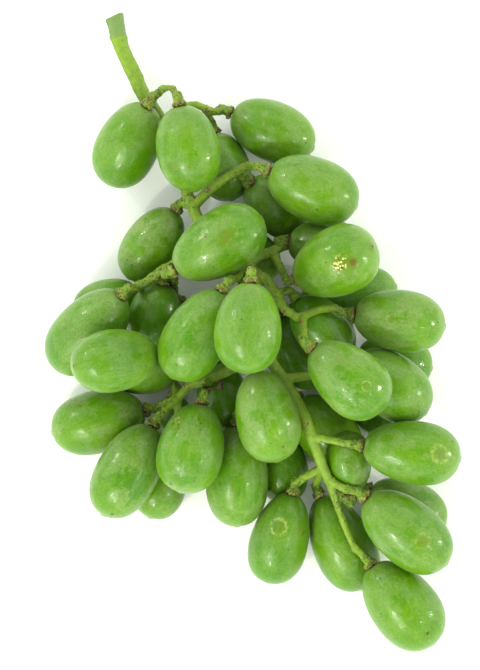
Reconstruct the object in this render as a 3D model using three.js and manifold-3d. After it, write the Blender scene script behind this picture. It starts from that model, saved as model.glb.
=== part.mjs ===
// A bunch of long green table grapes, as picked, lying on its side on a flat surface.
//
// Every berry and stalk has a home place. The bunch then settles: what would cross is eased apart until
// each piece clears its neighbours and the surface. Every berry hangs on a short stalk of its own.
//
// Millimetres and degrees. +Z is up, +Y points to the stalk end and Z = 0 is the surface below.

import * as THREE from "three";
import { mergeVertices } from "three/addons/utils/BufferGeometryUtils.js";
import Module from "manifold-3d";

// ---- driving dimensions ----

const GRID = 0.3; // one step of the plan grid, in mm: places in plan are given in its steps
const GRID_CENTRE = { u: 252, v: 332 }; // the grid's point over the middle; v runs away from the stalk end

const GAP = 0.35; // clearance kept between neighbouring pieces
const SINK = 0.25; // how far a berry's skin flattens on the surface

const BERRY_BLUNTNESS = 2.15; // 2 is an ellipse, more is squarer
const BERRY_SIDES = 14;
const BERRY_RINGS = 8;
const CORE_BALLS = 9; // balls inside a berry that stand for it while the berries settle
const OUTLINE_STEPS = 60; // places on a berry's outline that its balls are measured against

const STEM_SIDES = 7;
const STEM_STEP = 5; // length of one piece of a stalk
const PEDICEL_STEP = 3.2; // the same for a berry's own stalk
const PEDICEL_RADIUS = 1.25;
const COLLAR_RADIUS = 2.25; // the flared end of a pedicel, against the berry
const COLLAR_LENGTH = 1.7;
const COLLAR_FLARE = [
  // parts of the collar's length and radius, from its start to the berry
  [1.1, 0.64],
  [0.45, 0.88],
  [0, 1],
];

const SETTLE_PASSES = 500;
const HOME_PULL = 0.08; // how strongly a piece is drawn back to its home at first
const PULL_ENDS = 0.8; // the part of the passes by which that pull has faded to nothing
const NEIGHBOUR_REACH = 60; // pieces further apart than this can't touch
const OUTER_FREEDOM = { level: 0.12, upright: 1 }; // how readily a berry in view gives way
const INNER_FREEDOM = { level: 1, upright: 0.6 }; // the same for a berry hidden below
const STALK_FREEDOM = { level: 0.15, upright: 0.8 };
const ROUTE_PASSES = 120; // rounds of smoothing for a pedicel's route
const ROUTE_CLEARING = 10; // the last of those, which only clear the berries in its way

// ---- the berries ----
// Each row is [u, v, height, length, width, taper, heading, pitch]. u, v and height place the middle. Taper
// is how much slimmer the stalk end is, and fuller the tip. Heading is the direction in plan of the stalk
// end, anticlockwise from +X, and pitch lifts the stalk end. A row may end with the plan place where its own
// stalk branches off; otherwise that is the nearest place on a stalk.

const OUTER_BERRIES = [
  // round the stalk end
  [128, 143, 10.4, 28, 18.8, 0.08, 63, 24, 156, 93],
  [188, 149, 27, 25.8, 18.6, 0.04, 101, 0, 183, 103],
  [229, 166, 7.8, 20.8, 15.6, 0.09, 105, 0, 205, 103],
  [271, 131, 10, 26.7, 18, 0.05, 156, 0, 215, 108],
  [313, 192, 22, 28.2, 19.2, 0.09, 158, 5, 248, 168],
  [273, 202, 9, 24.2, 16.2, 0.09, 140, 30, 240, 172],
  [152, 250, 10, 25, 16.4, 0.05, 55, 10, 192, 207],
  [219, 244.7, 32, 30, 19.5, 0.13, 210, -5, 163, 267],
  [245, 257, 8.5, 22, 16.4, 0.09, 150, 10],
  // the left side
  [107, 300, 6.8, 20.5, 14, 0.09, 18, 5, 136, 286],
  [91, 332, 20, 31.8, 19.5, 0.1, 47, 24, 133, 287],
  [118, 357, 33, 28.2, 18.3, 0.09, 8, -30, 190, 351],
  [154, 314, 8.5, 21, 15.8, 0.09, 78, 18, 156, 271],
  [196.5, 336, 36, 29.6, 18.6, 0.12, 60, 5, 246, 266],
  [143, 375, 7.4, 20.5, 14.8, 0.09, 0, 0],
  [100, 420, 9.6, 28.8, 18.8, 0.06, 14, 5, 178, 400],
  [130, 470, 19, 30.4, 18.6, 0.08, 61, 0, 178, 400],
  [160, 486, 7.3, 20.5, 15, 0.09, 70, 0],
  [189, 448, 25, 27, 19.4, 0.13, 77, 0, 207, 383],
  [222, 396, 8.2, 20.5, 15.6, 0.09, 100, 0],
  // the middle and the right side
  [246, 328, 45, 26.7, 19.5, 0.12, 87, 0, 254, 275],
  [329, 255, 14, 23, 16.4, 0.09, 172, 5, 284, 249],
  [334, 263, 31, 28, 20.2, 0.17, 203, -32, 275, 251],
  [346, 288, 8.6, 30, 17, 0.09, 192, 0, 284, 305],
  [318, 338, 19, 23, 16.4, 0.09, 130, 5],
  [294, 360, 8.2, 24, 16, 0.09, 120, 8],
  [398.5, 324, 27, 27.3, 18.3, 0.06, 172, 3, 335, 309],
  [348, 378, 38, 27.6, 19.2, 0.18, 140, 3, 301, 320],
  [390, 382, 25, 27, 18.6, 0.09, 140, 10, 354, 374],
  [395, 366, 8.4, 23, 16.8, 0.09, 170, 5, 354, 374],
  [384, 411, 7.4, 19, 14.6, 0.09, 150, 0, 354, 374],
  [270, 415, 31, 27.6, 18.6, 0.1, 103, 5, 268, 357],
  // the far end
  [324, 430, 8.8, 25, 17.6, 0.09, 130, 0, 300, 408],
  [345, 463, 17, 18.5, 13.6, 0.09, 275, -5, 330, 482],
  [410, 452, 26, 29.4, 18.6, 0.14, 172, 4, 314, 438],
  [291, 466, 7.6, 20.5, 15, 0.09, 95, 0],
  [241, 476, 10.5, 30.6, 18.6, 0.1, 90, 8, 283, 379],
  [280, 537.5, 11, 28.5, 17.4, 0.16, 75, 12, 320, 466],
  [345, 546, 9.5, 31, 18.2, 0.17, 115, 6, 321, 470],
  [405.7, 529.5, 22, 31, 19.4, 0.08, 140.6, 3, 332, 480],
  [409, 510, 8.4, 25.2, 16.8, 0.09, 155, 5, 334, 485],
  [401.5, 605.5, 14, 30.3, 20.2, 0.12, 128, 5, 355, 548],
];

const INNER_BERRIES = [
  [219, 341, 7, 18, 13.6, 0.09, 130, 5, 160, 269],
  [252, 314, 7, 18.5, 13.8, 0.09, 95, 5],
  [168, 425, 5.6, 13, 11.4, 0.05, 85, 20, 178, 400],
];

// ---- the stalks ----
// Each point is [u, v, height, radius]. A stalk starts at the point that it branches from.

const RACHIS = [
  [112.5, 12, 4.8, 2.85],
  [114.5, 21, 4.9, 2.7],
  [117.5, 36, 5.2, 2.5],
  [123, 51, 5.6, 2.2],
  [130, 65.5, 6, 2.4],
  [135, 76, 6.2, 2.3],
  [140.5, 89, 6.4, 2.1],
  [148, 101, 6.6, 2.3],
  [161, 120, 7, 1.9],
  [174, 148, 9, 1.85],
  [184, 180, 13, 1.8],
  [193, 210, 17, 1.8],
  [212, 236, 20, 1.8],
  [232, 254, 20, 1.8],
  [250, 268, 21, 1.85],
  [257, 292, 22, 1.8],
  [260, 322, 22, 1.8],
  [264, 345, 22, 1.8],
  [271, 362, 24, 1.8],
  [283, 379, 26, 1.8],
  [297, 402, 29, 1.8],
  [305, 420, 30, 1.9],
  [313, 440, 30, 1.7],
  [321, 462, 28, 1.6],
  [333, 490, 25, 1.25],
  [344, 524, 22, 0.95],
  [355, 548, 19.5, 0.95],
];

const BRANCHES = [
  [[161, 118, 7.5, 1.4], [168, 110, 11, 1.3], [177, 103, 14, 1.3], [190, 99, 14.5, 1.2], [205, 104, 13, 1.1],
    [215, 108, 12, 1.1]],
  [[149, 100, 7, 1.4], [155, 93, 13, 1.2], [164, 86, 15.5, 1.1], [173, 85, 15, 1.1], [179, 102, 15.5, 1.1]],
  [[193, 210, 17, 1.7], [213, 191, 18, 1.5], [232, 177, 19, 1.4], [248, 168, 20, 1.3]],
  [[208, 232, 19, 1.8], [184, 255, 20, 1.6], [161, 268, 21, 1.5], [145, 280, 21, 1.4], [133, 287, 21, 1.3]],
  [[246, 265, 21, 1.7], [262, 257, 21, 1.5], [275, 251, 21, 1.4], [284, 249, 21, 1.3]],
  [[252, 272, 21, 1.6], [272, 285, 22, 1.5], [284, 310, 26, 1.4], [301, 320, 29, 1.4], [313, 313, 29.5, 1.2],
    [335, 309, 30, 1.2]],
  [[268, 357, 22, 1.8], [244, 366, 21, 1.6], [225, 374, 20, 1.5], [207, 383, 19, 1.4], [192, 385, 18, 1.4],
    [178, 400, 18, 1.3]],
  [[284, 381, 26, 1.5], [311, 378, 25, 1.4], [336, 371, 22, 1.3], [354, 374, 19, 1.2]],
  [[260, 325, 22, 1.6], [236, 338, 21, 1.4], [208, 348, 21, 1.3], [190, 351, 22, 1.2]],
];

// ---- places and directions ----

const wasm = await Module();
wasm.setup();

const onPlan = (u, v) => new THREE.Vector2((u - GRID_CENTRE.u) * GRID, (GRID_CENTRE.v - v) * GRID);

function stalkDirection(heading, pitch) {
  const turn = THREE.MathUtils.degToRad(heading);
  const lift = THREE.MathUtils.degToRad(pitch);
  return new THREE.Vector3(Math.cos(turn) * Math.cos(lift), Math.sin(turn) * Math.cos(lift), Math.sin(lift));
}

// ---- a berry's shape ----

// Half the width at the place t on the axis, from -1 at the tip to 1 at the stalk end.
function halfWidth(t, width, taper) {
  const round = (1 - Math.abs(t) ** BERRY_BLUNTNESS) ** (1 / BERRY_BLUNTNESS);
  return (width / 2) * round * (1 - taper * t);
}

function berryProfile(length, width, taper) {
  const points = [];
  for (let ring = 0; ring <= BERRY_RINGS; ring++) {
    const t = -Math.cos((Math.PI * ring) / BERRY_RINGS);
    const atEnd = ring === 0 || ring === BERRY_RINGS;
    points.push(new THREE.Vector2(atEnd ? 0 : halfWidth(t, width, taper), (t * length) / 2));
  }
  return points;
}

// The balls that fit inside a berry, in a row on its axis. A place on the axis counts towards the stalk end.
function coreBalls(length, width, taper) {
  const outline = [];
  for (let i = 0; i <= OUTLINE_STEPS; i++) {
    const t = -Math.cos((Math.PI * i) / OUTLINE_STEPS);
    outline.push([(t * length) / 2, halfWidth(t, width, taper)]);
  }
  const farthest = (length / 2) * (1 - (width / length) ** 2);
  const balls = [];
  for (let i = 0; i < CORE_BALLS; i++) {
    const along = THREE.MathUtils.lerp(-farthest, farthest, i / (CORE_BALLS - 1));
    const radius = Math.min(...outline.map(([x, r]) => Math.hypot(x - along, r)));
    balls.push({ along, radius });
  }
  return balls;
}

// The balls that keep room for the flared end of the berry's own stalk.
function stalkEndBalls(length) {
  const end = length / 2 + GAP;
  return [
    { along: end + COLLAR_LENGTH / 2, radius: COLLAR_RADIUS },
    { along: end + COLLAR_LENGTH * 2, radius: PEDICEL_RADIUS },
  ];
}

// ---- settling ----

// A berry at its home place, as the balls that stand for it. Its shift is how far it has moved since.
function berryAtHome([u, v, height, length, width, taper, heading, pitch, ...branching], freedom) {
  const axis = stalkDirection(heading, pitch);
  const plan = onPlan(u, v);
  const centre = new THREE.Vector3(plan.x, plan.y, height);
  const place = ({ along, radius }) => ({ at: centre.clone().addScaledVector(axis, along), radius });
  const core = coreBalls(length, width, taper).map(place);
  const balls = [...core, ...stalkEndBalls(length).map(place)];
  const shape = { length, width, taper };
  return { centre, axis, shape, branching, core, balls, freedom, shift: new THREE.Vector3() };
}

// A stalk as a row of balls, each of which shifts on its own.
function stalkAtHome(points) {
  const places = points.map(([u, v, height]) => new THREE.Vector3(onPlan(u, v).x, onPlan(u, v).y, height));
  const route = new THREE.CatmullRomCurve3(places, false, "centripetal");
  const count = Math.max(3, Math.round(route.getLength() / (STEM_STEP / 2)));
  const beads = [];
  for (let i = 0; i <= count; i++) {
    const place = (i / count) * (points.length - 1);
    const before = Math.min(Math.floor(place), points.length - 2);
    const radius = THREE.MathUtils.lerp(points[before][3], points[before + 1][3], place - before);
    const at = route.getPoint(i / count);
    beads.push({ balls: [{ at, radius }], freedom: STALK_FREEDOM, shift: new THREE.Vector3() });
  }
  return beads;
}

function move(piece, step) {
  piece.shift.add(step);
  for (const ball of piece.balls) ball.at.add(step);
}

// The step that a push along a direction gives a piece.
function give({ freedom }, direction, amount) {
  const { level, upright } = freedom;
  return new THREE.Vector3(level, level, upright).multiply(direction).multiplyScalar(amount);
}

// Moves two pieces apart along the line between the two of their balls that cross most.
function easeApart(first, second) {
  let deepest = 0;
  let line = null;
  for (const a of first.balls) {
    for (const b of second.balls) {
      const depth = a.radius + b.radius + GAP - a.at.distanceTo(b.at);
      if (depth > deepest) {
        deepest = depth;
        line = [a, b];
      }
    }
  }
  if (!line) return;
  const direction = line[0].at.clone().sub(line[1].at).normalize();
  const yielding = give(first, direction, 1).dot(direction) + give(second, direction, 1).dot(direction);
  move(first, give(first, direction, deepest / yielding));
  move(second, give(second, direction, -deepest / yielding));
}

function keepAbove(piece) {
  const lowest = Math.min(...piece.balls.map(({ at, radius }) => at.z - radius));
  if (lowest < -SINK) move(piece, new THREE.Vector3(0, 0, -SINK - lowest));
}

// Spreads each bead's shift along its stalk, so that the stalk stays smooth.
function stiffen(stalk) {
  for (let i = 1; i < stalk.length; i++) {
    const next = stalk[Math.min(i + 1, stalk.length - 1)];
    const even = stalk[i - 1].shift.clone().add(next.shift).multiplyScalar(0.5);
    move(stalk[i], even.sub(stalk[i].shift).multiplyScalar(0.5));
  }
}

const near = (a, b) => a.balls[0].at.distanceTo(b.balls[0].at) < NEIGHBOUR_REACH;

function settle(berries, stalks) {
  const beads = stalks.flatMap(({ beads }) => beads);
  for (let pass = 0; pass < SETTLE_PASSES; pass++) {
    const pull = HOME_PULL * Math.max(0, 1 - pass / (PULL_ENDS * SETTLE_PASSES));
    for (const piece of [...berries, ...beads]) move(piece, piece.shift.clone().multiplyScalar(-pull));
    berries.forEach((berry, i) => {
      for (const other of berries.slice(i + 1)) if (near(berry, other)) easeApart(berry, other);
      for (const bead of beads) if (near(berry, bead)) easeApart(berry, bead);
    });
    for (const { beads: own, root } of stalks) {
      if (root) move(own[0], root.balls[0].at.clone().sub(own[0].balls[0].at));
      stiffen(own);
    }
    for (const piece of [...berries, ...beads]) keepAbove(piece);
  }
  for (const berry of berries) berry.centre.add(berry.shift);
}

const nearestTo = (point, beads) =>
  beads.reduce((best, bead) =>
    bead.balls[0].at.distanceTo(point) < best.balls[0].at.distanceTo(point) ? bead : best,
  );

const nearestInPlan = (u, v, beads) => {
  const place = onPlan(u, v);
  const apart = ({ balls: [{ at }] }) => Math.hypot(at.x - place.x, at.y - place.y);
  return beads.reduce((best, bead) => (apart(bead) < apart(best) ? bead : best));
};

const berries = [
  ...OUTER_BERRIES.map((row) => berryAtHome(row, OUTER_FREEDOM)),
  ...INNER_BERRIES.map((row) => berryAtHome(row, INNER_FREEDOM)),
];
const stalks = [{ beads: stalkAtHome(RACHIS), root: null }];
for (const points of BRANCHES) {
  const grown = stalks.flatMap(({ beads }) => beads);
  const [u, v] = points[0];
  stalks.push({ beads: stalkAtHome(points), root: nearestInPlan(u, v, grown) });
}
settle(berries, stalks);
const network = stalks.flatMap(({ beads }) => beads);

// ---- the berries' own stalks ----

// A route from its root to a berry's stalk end, eased round every berry in its way.
function pedicelRoute(berry) {
  const poleReach = berry.shape.length / 2;
  const away = (distance) => berry.centre.clone().addScaledVector(berry.axis, poleReach + distance);
  const end = away(GAP + COLLAR_LENGTH * 2);
  const [u, v] = berry.branching;
  const branching = u === undefined ? nearestTo(end, network) : nearestInPlan(u, v, network);
  const root = branching.balls[0].at;
  const count = Math.max(2, Math.round(root.distanceTo(end) / PEDICEL_STEP));
  const route = [];
  for (let i = 0; i <= count; i++) route.push(root.clone().lerp(end, i / count));
  for (let pass = 0; pass < ROUTE_PASSES; pass++) {
    for (let i = 1; i < count; i++) {
      const middle = route[i - 1].clone().add(route[i + 1]).multiplyScalar(0.5);
      if (pass < ROUTE_PASSES - ROUTE_CLEARING) route[i].lerp(middle, 0.5);
      for (const other of berries) {
        for (const { at, radius } of other === berry ? other.core : other.balls) {
          const reach = radius + PEDICEL_RADIUS + GAP;
          const apart = route[i].distanceTo(at);
          if (apart < reach) route[i].sub(at).multiplyScalar(reach / apart).add(at);
        }
      }
      route[i].z = Math.max(route[i].z, PEDICEL_RADIUS + GAP);
    }
  }
  const collar = COLLAR_FLARE.map(([back, wide]) => ({
    at: away(GAP + COLLAR_LENGTH * back),
    radius: COLLAR_RADIUS * wide,
  }));
  return [...route.map((at) => ({ at, radius: PEDICEL_RADIUS })), ...collar];
}

// ---- solids ----

// A closed round stalk through the stations, each { at, radius }.
function stalkGeometry(stations, sides) {
  const last = stations.length - 1;
  const shape = new THREE.CylinderGeometry(1, 1, last, sides, last);
  const frames = [];
  let side = new THREE.Vector3(0.31, 0.17, 0.93);
  for (let i = 0; i <= last; i++) {
    const along = stations[Math.min(i + 1, last)].at.clone().sub(stations[Math.max(i - 1, 0)].at).normalize();
    side = side.clone().addScaledVector(along, -side.dot(along)).normalize();
    frames.push({ side, up: new THREE.Vector3().crossVectors(along, side) });
  }
  const positions = shape.getAttribute("position");
  for (let i = 0; i < positions.count; i++) {
    const ring = Math.round(last / 2 - positions.getY(i));
    const { at, radius } = stations[ring];
    const moved = at.clone();
    moved.addScaledVector(frames[ring].side, positions.getX(i) * radius);
    moved.addScaledVector(frames[ring].up, positions.getZ(i) * radius);
    positions.setXYZ(i, moved.x, moved.y, moved.z);
  }
  return shape;
}

function toSolid(geometry) {
  const bare = geometry.clone();
  bare.deleteAttribute("normal");
  bare.deleteAttribute("uv");
  const merged = mergeVertices(bare, 1e-5);
  const vertProperties = merged.getAttribute("position").array;
  return new wasm.Manifold(
    new wasm.Mesh({ numProp: 3, vertProperties, triVerts: new Uint32Array(merged.index.array) }),
  );
}

function toGeometry(solid) {
  const { vertProperties, triVerts } = solid.getMesh();
  const geometry = new THREE.BufferGeometry();
  geometry.setAttribute("position", new THREE.BufferAttribute(vertProperties, 3));
  geometry.setIndex(new THREE.BufferAttribute(triVerts, 1));
  geometry.computeVertexNormals();
  return geometry;
}

// All the space below the surface that the bunch could reach.
const belowSurface = toSolid(new THREE.BoxGeometry(500, 500, 50).translate(0, 0, -25));

function berryGeometry({ length, width, taper }) {
  return new THREE.LatheGeometry(berryProfile(length, width, taper), BERRY_SIDES);
}

// Turns a shape's own +Y to a direction.
const shapeAxis = new THREE.Vector3(0, 1, 0);
const turnTo = (direction) => new THREE.Quaternion().setFromUnitVectors(shapeAxis, direction);

function placed(geometry, centre, axis) {
  const matrix = new THREE.Matrix4().compose(centre, turnTo(axis), new THREE.Vector3(1, 1, 1));
  return { geometry: geometry.clone().applyMatrix4(matrix), matrix };
}

// Cuts a placed berry off flat at the surface where it would reach below it.
function flattened(geometry, centre, axis) {
  const { geometry: world, matrix } = placed(geometry, centre, axis);
  world.computeBoundingBox();
  if (world.boundingBox.min.z > 0) return geometry;
  const cut = toSolid(world).subtract(belowSurface);
  return toGeometry(cut).applyMatrix4(matrix.invert());
}

function stemSolid() {
  let solid = null;
  for (const { beads, root } of stalks) {
    const stations = everySecond(beads.map(({ balls }) => balls[0]));
    const stalk = toSolid(stalkGeometry(stations, root ? STEM_SIDES - 1 : STEM_SIDES));
    solid = solid ? solid.add(stalk) : stalk;
  }
  for (const berry of berries) {
    solid = solid.add(toSolid(stalkGeometry(pedicelRoute(berry), STEM_SIDES - 1)));
  }
  for (const { centre, axis, shape } of berries) {
    const { length, width, taper } = shape;
    const grown = berryGeometry({ length: length + 2 * GAP, width: width + 2 * GAP, taper });
    solid = solid.subtract(toSolid(placed(grown, centre, axis).geometry));
  }
  return solid.subtract(belowSurface);
}

function everySecond(list) {
  return list.filter((item, i) => i % 2 === 0 || i === list.length - 1);
}

// ---- the bunch ----

const skin = new THREE.MeshStandardMaterial({ color: 0x7db548, roughness: 0.35, metalness: 0 });
const bark = new THREE.MeshStandardMaterial({ color: 0x8fb84e, roughness: 0.7, metalness: 0 });

const bunch = new THREE.Group();

berries.forEach(({ centre, axis, shape }, i) => {
  const mesh = new THREE.Mesh(flattened(berryGeometry(shape), centre, axis), skin.clone());
  mesh.name = `berry_${String(i + 1).padStart(2, "0")}`;
  mesh.position.copy(centre);
  mesh.quaternion.copy(turnTo(axis));
  bunch.add(mesh);
});

const stem = new THREE.Mesh(toGeometry(stemSolid()), bark);
stem.name = "stem";
bunch.add(stem);

// The origin is on the surface below the middle of the bunch.
const bounds = new THREE.Box3().setFromObject(bunch, true);
const middle = bounds.getCenter(new THREE.Vector3());
for (const mesh of bunch.children) mesh.position.sub(new THREE.Vector3(middle.x, middle.y, 0));

export default bunch;
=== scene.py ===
"""Dresses a bunch of long green table grapes: skins with bloom and freckles, and a warty green stem with
corky collars. It lies on a pale table under soft light."""

import math
import random

import bmesh
import bpy
import numpy as np
from mathutils import Matrix, Vector, noise
from mathutils.kdtree import KDTree


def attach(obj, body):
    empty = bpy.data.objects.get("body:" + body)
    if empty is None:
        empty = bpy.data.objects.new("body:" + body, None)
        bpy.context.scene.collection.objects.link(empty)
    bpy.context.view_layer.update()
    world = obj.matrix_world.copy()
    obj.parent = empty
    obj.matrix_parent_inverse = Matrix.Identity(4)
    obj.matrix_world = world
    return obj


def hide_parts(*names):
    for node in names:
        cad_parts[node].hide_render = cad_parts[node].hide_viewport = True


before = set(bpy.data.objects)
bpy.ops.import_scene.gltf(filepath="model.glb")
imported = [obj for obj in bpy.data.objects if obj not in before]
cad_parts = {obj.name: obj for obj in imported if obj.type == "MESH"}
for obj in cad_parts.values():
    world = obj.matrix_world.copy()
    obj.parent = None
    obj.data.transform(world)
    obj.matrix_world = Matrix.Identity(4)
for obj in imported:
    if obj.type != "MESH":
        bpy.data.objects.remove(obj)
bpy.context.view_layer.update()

bl_info = {
    "name": "Bunch of grapes",
    "version": (1, 0, 0),
    "blender": (4, 5, 0),
    "location": "View3D > Sidebar > Grapes",
    "description": "Dresses a bunch of long green table grapes and sets it on a pale table",
    "category": "Object",
}

MM = 0.001

# The camera looks straight down at this place in plan. At the frame's level it sees the frame's height.
CAMERA_PLACE = (-3.58 * MM, -1.15 * MM)
CAMERA_HEIGHT = 1.6
FRAME_LEVEL = 25 * MM
FRAME_HEIGHT = 0.201
FRAME_PIXELS = (480, 670)

# ---- the berries' shape ----

BERRY_SIDES = 72
BERRY_RINGS = 52
DRAW_SEED = 7
LARGEST_SEED = 40  # each berry's own seed is drawn from 0 to this
DIMPLE_RADIUS = 1.6 * MM
STREAK_SPREAD = 1.3  # how far apart the streaks lie round a berry
STREAK_STRETCH = 0.35  # how little they change along it

# A solid is measured at the rings of points that lie this far along it, from -1 at the tip to 1.
PROBE_HEIGHT = math.cos(math.pi * 3 / 8)
PROBE_BAND = 0.06
PROBE_PERCENTILE = 70

# ---- the stalks' shape ----

MERGE_DISTANCE = 0.01 * MM
SMOOTH_FACTOR = 0.5
SMOOTH_ROUNDS = 4
COLLAR_DEPTH = 1.6 * MM
COLLAR_FADE = 0.9 * MM
COLLAR_REACH = 4.5 * MM
SPECK_REACH = 10.0 * MM
SPECK_FADE = 6.0 * MM
FOLD_ROUNDS = 6
SHALLOW_FOLD = -0.007 * MM
DEEP_FOLD = 0.006 * MM

# The lumps and the finer bumps on the stalks: [size, smoothness, octaves].
LUMPS = [1.6 * MM, 0.6, 3]
BUMPS = [0.55 * MM, 0.5, 2]
LACUNARITY = 2.0
LUMPY_THROUGHOUT = 0.4
LUMPY_AT_ENDS = 0.8
BUMPY_AT_ENDS = 0.5
EVEN_RIM = 0.6
RAGGED_RIM = 0.8

# The main stalk has a raised ring near its cut, a dull dry end beyond that, and a cut on the slant.
RING_FROM_CUT = 7.2 * MM
RING_WIDTH = 0.7 * MM
RING_RISE = 0.25 * MM
RING_CORK = 0.5
DULL_FROM_CUT = 7.4 * MM
DULL_FADE = 1.2 * MM
CUT_FACE = 1.0 * MM
CUT_REACH = 4 * MM
CUT_SLOPE = 0.26
LOWEST_STALK = 0.05 * MM

WART_SEED = 5
WART_DENSITY = 1.0e4  # warts on a square metre of a smooth stalk
SPECK_DENSITY = 3.2e5  # how many more there are at a berry's end of it
WART_SIZES = {"Min": 0.45, "Max": 1.25}
WART_FLATNESS = 0.7

# A dry twig that lost its berry: each row is [x, y, z, radius] in mm.
TWIG = [
    [-13.6, -17.4, 29, 0.6],
    [-10, -16.4, 29.4, 0.5],
    [-9.3, -15, 29.6, 0.6],
    [-9.2, -17.6, 29.8, 0.7],
]
TWIG_BEADS = 6
DRY_REACH = 2.2
DRY_FADE = 0.8 * MM

# Brown healed places on the stalks: each row is [u, v, radius], the pixel of the camera's frame at which one
# shows, and its radius in mm.
STALK_SCARS = [
    [306, 423, 0.9], [326, 430, 0.9], [342, 536, 0.9],
    [312, 465, 1.3], [329, 503, 0.5], [207, 189, 1.1],
    [243, 163, 0.9], [264, 270, 1], [248, 266, 0.9],
    [149, 98, 1], [173, 86, 0.8], [207, 109, 1],
    [195, 196, 0.8], [262, 262, 0.8], [284, 312, 0.8],
    [301, 322, 0.9], [186, 386, 0.8], [160, 400, 0.7],
]
SCAR_REACH = 1.5  # in radii of the scar
SCAR_CORK = 0.8

# ---- marks on the skins ----

# Each row is [berry, u, v, radius, strength]: the berry's number, the pixel of the camera's frame at which
# the mark shows, its radius in mm, and how clearly it shows, from 0 to 1. The weakest dots are the darkest.
MARKS = {
    "freckled": [
        [16, 129, 415, 1.9, 1], [16, 75, 404, 1.7, 1], [7, 130, 260, 1.5, 1],
        [38, 301, 530, 1.6, 1], [35, 452, 441, 1.6, 0.7], [2, 175, 168, 1.5, 1],
        [19, 200, 425, 2.4, 0.8], [34, 352, 462, 3, 0.45], [29, 398, 378, 2, 0.4],
        [19, 178, 423, 2.2, 1],
    ],
    "olive": [
        [8, 226, 238, 4.6, 0.9], [40, 425, 545, 4, 0.7], [17, 135, 460, 3, 0.6],
        [11, 70, 330, 4.6, 0.5], [35, 442, 455, 2.6, 0.8], [28, 342, 360, 3.4, 0.7],
        [32, 283, 449, 2.4, 0.7], [23, 345, 268, 4.2, 0.9], [21, 240, 345, 3, 0.6],
        [5, 300, 180, 3.6, 0.6],
    ],
    "scar": [[23, 340, 262.5, 2.5, 1], [19, 176, 421, 1.8, 0.35], [8, 204, 237.5, 0.9, 0.7]],
    "ring": [
        [38, 278.5, 528, 2.5, 0.45], [28, 365.6, 385.5, 1.5, 0.35], [35, 441, 454, 2.7, 0.28],
        [40, 421, 541, 2.3, 0.2], [27, 391, 318, 1.5, 0.12],
    ],
    "dot": [
        [19, 171.5, 484, 0.5, 0.4], [23, 352, 262, 1.1, 1], [11, 72, 365, 0.45, 0.4],
        [17, 112, 515, 0.45, 0.2], [42, 427, 634, 0.5, 0.1], [32, 284, 446, 0.4, 0.4],
        [14, 172, 352, 0.3, 0.4],
    ],
}
PATCHES = ["freckled", "olive"]
PATCH_REACH = 1.4  # in radii of the mark
MARK_RISE = 0.35  # how far above a berry's middle its marks are taken to lie, in widths of the berry
RAGGED = {"scar": 1.8, "ring": 1.0, "dot": 0.5}  # how ragged the edge of each small mark is

# In metres: the place of a mark that a berry lacks, and how far off its under side counts as being.
FAR_AWAY = (0.0, 0.0, 10.0)
OUT_OF_SIGHT = 1.0

# How bright each berry's skin is and how much pale bloom it keeps, from 0 to 1, by the berry's number.
# Both are partly the berry's own ripeness and wax and partly painted shade and light: berries that lie deep
# in shade are darkened, mostly with little bloom, and some that the lamps leave too shaded are brightened.
BERRY_TONE_BLOOM_AND_PAINTED_SHADE = {
    1: [0.9, 0.5], 2: [0.82, 0.5], 3: [0.72, 0.5], 4: [1, 0.6], 5: [0.9, 0.55],
    6: [0.6, 0.4], 7: [1, 1], 8: [0.8, 0.75], 9: [0.4, 0.4], 10: [0.7, 0.6],
    11: [0.5, 0.63], 12: [0.6, 0.48], 13: [0.52, 0.3], 14: [0.5, 0.6], 15: [0.5, 0.4],
    16: [1, 0.9], 17: [0.48, 0.85], 18: [0.8, 0.6], 19: [0.62, 0.55], 20: [0.4, 0.5],
    21: [0.75, 0.45], 22: [0.8, 0.8], 23: [1, 0.6], 24: [0.5, 0.5], 25: [0.3, 0.2],
    26: [0.3, 0.3], 27: [1, 1], 28: [0.6, 0.7], 29: [0.8, 0.6], 30: [0.8, 0.6],
    31: [0.5, 0.5], 32: [1, 0.8], 33: [1, 0.15], 34: [0.9, 1], 35: [0.8, 0.6],
    36: [0.5, 0.3], 37: [0.6, 0.75], 38: [0.6, 0.33], 39: [0.8, 0.4], 40: [0.6, 0.55],
    41: [0.7, 0.7], 42: [0.7, 0.5], 43: [0.4, 0.3], 44: [0.4, 0.3], 45: [0.5, 0.5],
}

# ---- the finish of the skins, the stalks and the table ----

# Random patterns: each row is [scale, detail, roughness, seed]. The scale is in features per millimetre, but
# per metre for the table, and per radius for the streaks, the threads, the rubbed bloom and the uneven berry.
NOISE = {
    "ripeness": [0.09, 3, 0.5, 0],
    "streaks": [2.6, 3, 0.6, 0],
    "threads": [9, 2, 0.6, 11],
    "skin grain": [1.5, 4, 0.7, 6],
    "waves": [0.45, 2, 0.5, 1],
    "orange peel": [1.9, 3, 0.6, 2],
    "wax grain": [2.4, 2, 0.6, 13],
    "bloom clouds": [0.15, 4, 0.6, 3],
    "rubbed bloom": [1.6, 4, 0.7, 7],
    "dusty bloom": [0.5, 4, 0.7, 9],
    "ragged edges": [1.3, 4, 0.7, 5],
    "olive": [0.5, 4, 0.7, 12],
    "ring gaps": [0.8, 2, 0.6, 14],
    "uneven berry": [0.9, 1, 0.4, 0],
    "cork grain": [1.7, 5, 0.75, 2],
    "stalk mottle": [0.6, 4, 0.65, 0],
    "pale stalk": [1.2, 3, 0.6, 8],
    "husk": [1.1, 3, 0.6, 15],
    "rough bark": [1, 5, 0.75, 4],
    "table grain": [90, 3, 0.5, 0],
}
NOISE_MEAN = 0.5

# How many scattered points a millimetre holds.
CELLS = {"pore": 0.6, "stray": 0.36, "freckle": 1.2, "flake": 1.4, "speck": 1.25, "pit": 1.3}

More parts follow.
